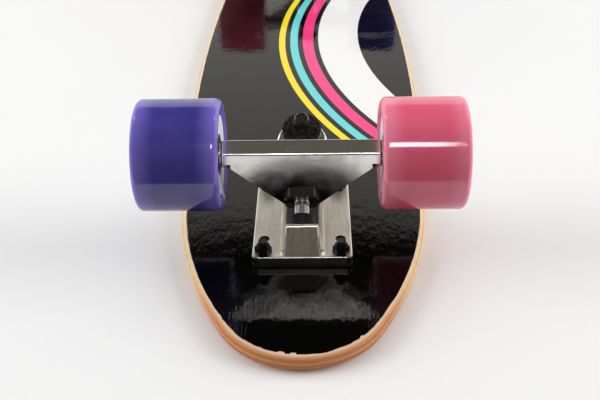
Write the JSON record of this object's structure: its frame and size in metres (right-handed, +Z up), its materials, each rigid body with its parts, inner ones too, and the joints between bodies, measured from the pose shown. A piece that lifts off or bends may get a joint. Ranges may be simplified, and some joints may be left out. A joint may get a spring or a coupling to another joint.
{
  "type": "skateboard",
  "caption": "Small cruiser skateboard: flat oval laminated deck, sprung steering trucks and wide urethane wheels on ball bearings, lying wheels up.",
  "frame": {"origin": "on the surface that the grip tape rests on, under the middle of the deck", "axes": "+Z up from the grip tape to the wheels, as the board lies upside down; +Y along the deck from the front truck to the rear truck; +X across the deck. Turn it half a turn about Y to ride it."},
  "size_m": [0.1704, 0.636, 0.0914],
  "materials": {
    "deck_wood": "gloss lacquered underside with printed stripes over bare laminated maple edges",
    "grip_tape": "black abrasive grit",
    "riser_plastic": "black moulded pad",
    "truck_metal": "polished die casting",
    "black_urethane": "black cast urethane",
    "black_steel": "black oxide",
    "axle_steel": "bright turned steel",
    "bearing_steel": "polished bearing steel",
    "black_shield": "black bearing shield",
    "purple_urethane": "translucent violet urethane",
    "pink_urethane": "translucent pink urethane",
    "white_core": "white moulded core"
  },
  "bodies": {
    "board": {"deck": "deck_wood", "grip_tape": "grip_tape", "front_riser_pad": "riser_plastic", "front_baseplate": "truck_metal", "front_pivot_cup": "black_urethane", "front_kingpin": "black_steel", "front_kingpin_nut": "black_steel", "front_boardside_bushing": "black_urethane", "front_roadside_bushing": "black_urethane", "front_boardside_washer": "black_steel", "front_roadside_washer": "black_steel", "front_deck_bolts": "black_steel", "front_deck_bolt_nuts": "black_steel", "rear_riser_pad": "riser_plastic", "rear_baseplate": "truck_metal", "rear_pivot_cup": "black_urethane", "rear_kingpin": "black_steel", "rear_kingpin_nut": "black_steel", "rear_boardside_bushing": "black_urethane", "rear_roadside_bushing": "black_urethane", "rear_boardside_washer": "black_steel", "rear_roadside_washer": "black_steel", "rear_deck_bolts": "black_steel", "rear_deck_bolt_nuts": "black_steel"},
    "front_truck": {"front_hanger": "truck_metal", "front_axle": "axle_steel", "front_axle_nuts": "axle_steel", "front_speed_washers": "axle_steel", "front_left_bearing_inner_rings": "bearing_steel", "front_left_bearing_spacer": "axle_steel", "front_right_bearing_inner_rings": "bearing_steel", "front_right_bearing_spacer": "axle_steel"},
    "rear_truck": {"rear_hanger": "truck_metal", "rear_axle": "axle_steel", "rear_axle_nuts": "axle_steel", "rear_speed_washers": "axle_steel", "rear_left_bearing_inner_rings": "bearing_steel", "rear_left_bearing_spacer": "axle_steel", "rear_right_bearing_inner_rings": "bearing_steel", "rear_right_bearing_spacer": "axle_steel"},
    "front_left_wheel": {"front_left_tyre": "purple_urethane", "front_left_core": "white_core", "front_left_bearing_outer_rings": "bearing_steel", "front_left_bearing_shields": "black_shield"},
    "front_right_wheel": {"front_right_tyre": "pink_urethane", "front_right_core": "white_core", "front_right_bearing_outer_rings": "bearing_steel", "front_right_bearing_shields": "black_shield"},
    "rear_left_wheel": {"rear_left_tyre": "pink_urethane", "rear_left_core": "white_core", "rear_left_bearing_outer_rings": "bearing_steel", "rear_left_bearing_shields": "black_shield"},
    "rear_right_wheel": {"rear_right_tyre": "purple_urethane", "rear_right_core": "white_core", "rear_right_bearing_outer_rings": "bearing_steel", "rear_right_bearing_shields": "black_shield"},
    "front_left_balls": {"front_left_ball_cages": "bearing_steel"},
    "front_right_balls": {"front_right_ball_cages": "bearing_steel"},
    "rear_left_balls": {"rear_left_ball_cages": "bearing_steel"},
    "rear_right_balls": {"rear_right_ball_cages": "bearing_steel"}
  },
  "joints": [
    {"name": "front_steer", "type": "hinge", "parent": "board", "child": "front_truck", "pos_m": [0, -0.1885, 0.0489], "axis": [0, 0.9064, 0.4223], "range_deg": [-15, 15], "stiffness_Nm_per_rad": 40, "deforming": ["front_boardside_bushing", "front_roadside_bushing"]},
    {"name": "rear_steer", "type": "hinge", "parent": "board", "child": "rear_truck", "pos_m": [0, 0.1885, 0.0489], "axis": [0, -0.9064, 0.4223], "range_deg": [-15, 15], "stiffness_Nm_per_rad": 40, "deforming": ["rear_boardside_bushing", "rear_roadside_bushing"]},
    {"name": "front_left_spin", "type": "hinge", "parent": "front_truck", "child": "front_left_wheel", "pos_m": [0, -0.219, 0.0619], "axis": [1, 0, 0], "continuous": true},
    {"name": "front_right_spin", "type": "hinge", "parent": "front_truck", "child": "front_right_wheel", "pos_m": [0, -0.219, 0.0619], "axis": [1, 0, 0], "continuous": true},
    {"name": "rear_left_spin", "type": "hinge", "parent": "rear_truck", "child": "rear_left_wheel", "pos_m": [0, 0.219, 0.0619], "axis": [1, 0, 0], "continuous": true},
    {"name": "rear_right_spin", "type": "hinge", "parent": "rear_truck", "child": "rear_right_wheel", "pos_m": [0, 0.219, 0.0619], "axis": [1, 0, 0], "continuous": true},
    {"name": "front_left_balls_roll", "type": "hinge", "parent": "front_truck", "child": "front_left_balls", "pos_m": [0, -0.219, 0.0619], "axis": [1, 0, 0], "continuous": true},
    {"name": "front_right_balls_roll", "type": "hinge", "parent": "front_truck", "child": "front_right_balls", "pos_m": [0, -0.219, 0.0619], "axis": [1, 0, 0], "continuous": true},
    {"name": "rear_left_balls_roll", "type": "hinge", "parent": "rear_truck", "child": "rear_left_balls", "pos_m": [0, 0.219, 0.0619], "axis": [1, 0, 0], "continuous": true},
    {"name": "rear_right_balls_roll", "type": "hinge", "parent": "rear_truck", "child": "rear_right_balls", "pos_m": [0, 0.219, 0.0619], "axis": [1, 0, 0], "continuous": true}
  ],
  "couplings": [
    {"joint": "front_left_balls_roll", "follows": "front_left_spin", "ratio": 0.63233},
    {"joint": "front_right_balls_roll", "follows": "front_right_spin", "ratio": 0.63233},
    {"joint": "rear_left_balls_roll", "follows": "rear_left_spin", "ratio": 0.63233},
    {"joint": "rear_right_balls_roll", "follows": "rear_right_spin", "ratio": 0.63233}
  ]
}
